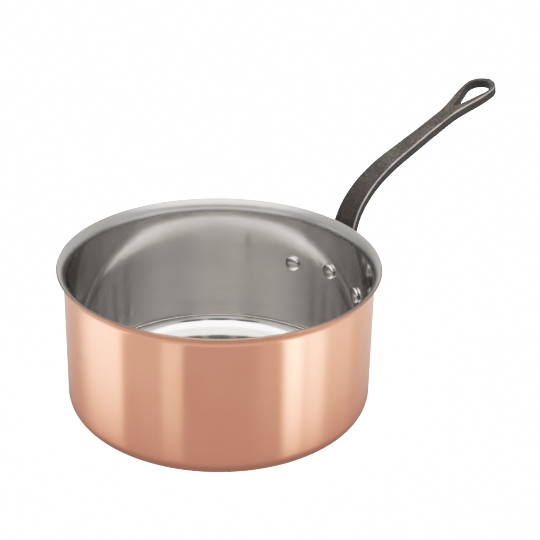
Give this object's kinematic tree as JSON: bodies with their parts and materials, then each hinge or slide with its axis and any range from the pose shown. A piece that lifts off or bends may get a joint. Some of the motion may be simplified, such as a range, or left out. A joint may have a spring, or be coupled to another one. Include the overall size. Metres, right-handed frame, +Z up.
{
  "type": "copper saucepan",
  "caption": "Deep round copper saucepan with a flared lip, a stainless steel lining and a long riveted cast iron handle ending in a hanging eye.",
  "frame": {"origin": "centre of the base's flat underside, where the pan rests", "axes": "+Z up along the pan's axis, +X along the handle away from the pan, +Y to the left of someone looking out along the handle"},
  "size_m": [0.4368, 0.255, 0.2105],
  "materials": {
    "copper": "polished copper with a faint brushed grain",
    "stainless_lining": "satin, brushed round the wall and in rings on the base",
    "cast_iron": "dark, lightly pitted casting with softened, lighter edges",
    "rivet_steel": "polished stainless steel"
  },
  "bodies": {
    "root": {"copper_shell": "copper", "steel_lining": "stainless_lining", "handle": "cast_iron", "rivet_left": "rivet_steel", "rivet_centre": "rivet_steel", "rivet_right": "rivet_steel"}
  },
  "joints": []
}
